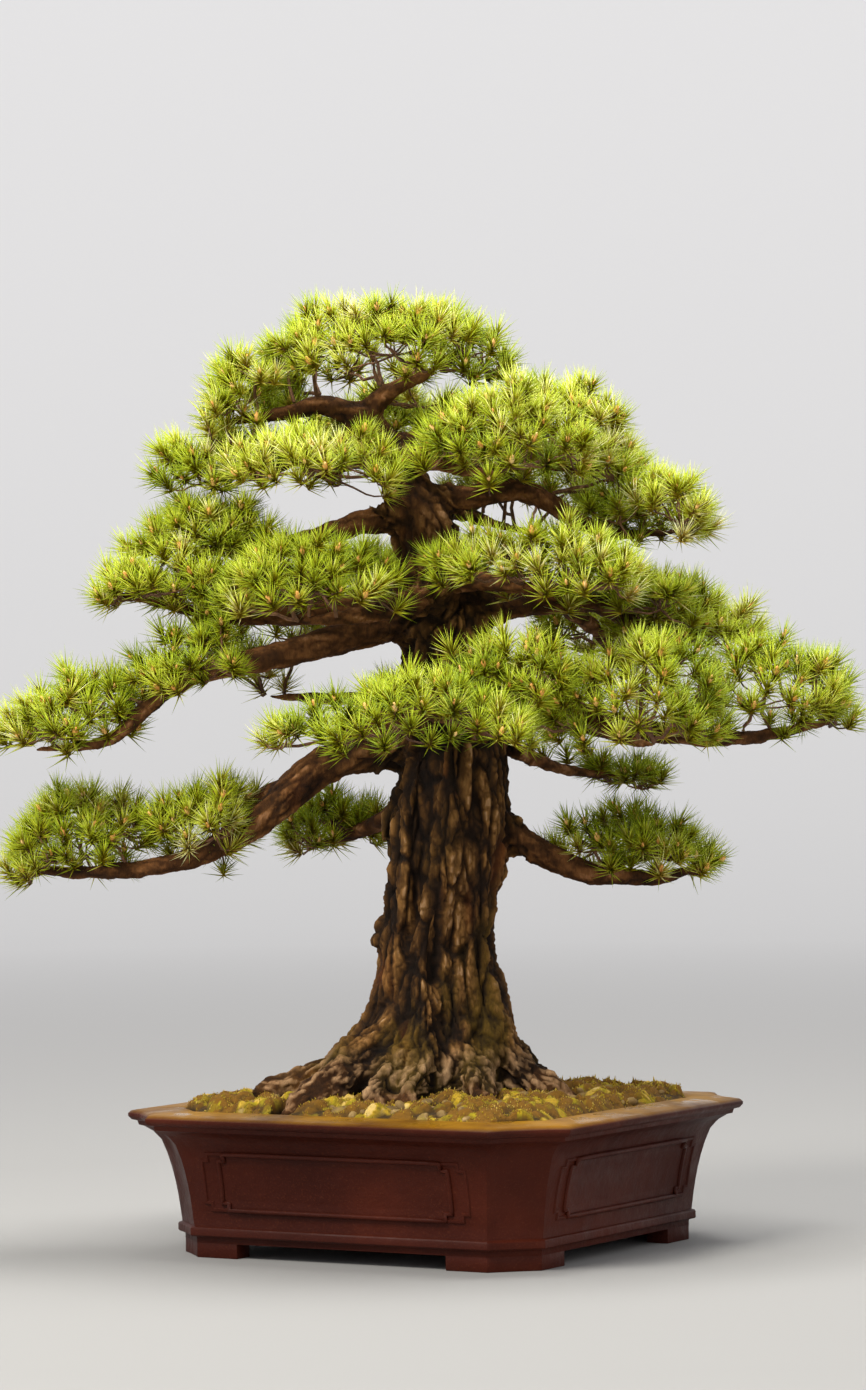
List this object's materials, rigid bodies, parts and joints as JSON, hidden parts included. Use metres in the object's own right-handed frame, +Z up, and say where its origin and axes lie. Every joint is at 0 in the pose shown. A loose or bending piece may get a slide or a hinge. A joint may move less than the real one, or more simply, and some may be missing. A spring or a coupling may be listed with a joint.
{
  "type": "bonsai tree in a pot",
  "caption": "Old pine trained as a bonsai, with tiered pads of needles, in a low cut-cornered stoneware pot with moss over the soil.",
  "frame": {"origin": "middle of the pot, on the surface that its four feet stand on", "axes": "+X along the pot's longer side, -Y the pot's front, +Z up; the tree's own front faces between -Y and +X, 30 degrees from -Y"},
  "size_m": [0.7632, 0.6321, 0.95],
  "materials": {
    "stoneware": "satin",
    "bark": "matte",
    "needles": "matte",
    "moss": "matte",
    "soil": "matte",
    "grit": "matte",
    "pebble": "matte",
    "screen": "matte"
  },
  "bodies": {
    "root": {"drain_screen_left": "screen", "drain_screen_right": "screen", "drainage_grit": "grit", "foliage_apex": "needles", "foliage_back": "needles", "foliage_back_left": "needles", "foliage_back_right": "needles", "foliage_centre_right": "needles", "foliage_crown_back": "needles", "foliage_crown_front": "needles", "foliage_crown_left": "needles", "foliage_crown_right": "needles", "foliage_front": "needles", "foliage_long_left": "needles", "foliage_long_left_tip": "needles", "foliage_low_back_left": "needles", "foliage_low_back_right": "needles", "foliage_low_left": "needles", "foliage_low_left_tip": "needles", "foliage_low_right": "needles", "foliage_middle_back": "needles", "foliage_middle_left": "needles", "foliage_middle_right": "needles", "foliage_right_front": "needles", "foliage_right_inner": "needles", "foliage_right_tip": "needles", "foliage_right_upper": "needles", "foliage_shoulder_right": "needles", "foliage_tier_left": "needles", "foliage_tier_left_upper": "needles", "foliage_upper_back_right": "needles", "foliage_upper_left": "needles", "foliage_upper_right": "needles", "moss_carpet": "moss", "pot": "stoneware", "pot_foot_back_left": "stoneware", "pot_foot_back_right": "stoneware", "pot_foot_front_left": "stoneware", "pot_foot_front_right": "stoneware", "soil": "soil", "stone_back": "pebble", "stone_front": "pebble", "stone_front_left": "pebble", "stone_front_middle": "pebble", "stone_front_right": "pebble", "trunk_and_boughs": "bark"}
  },
  "joints": []
}
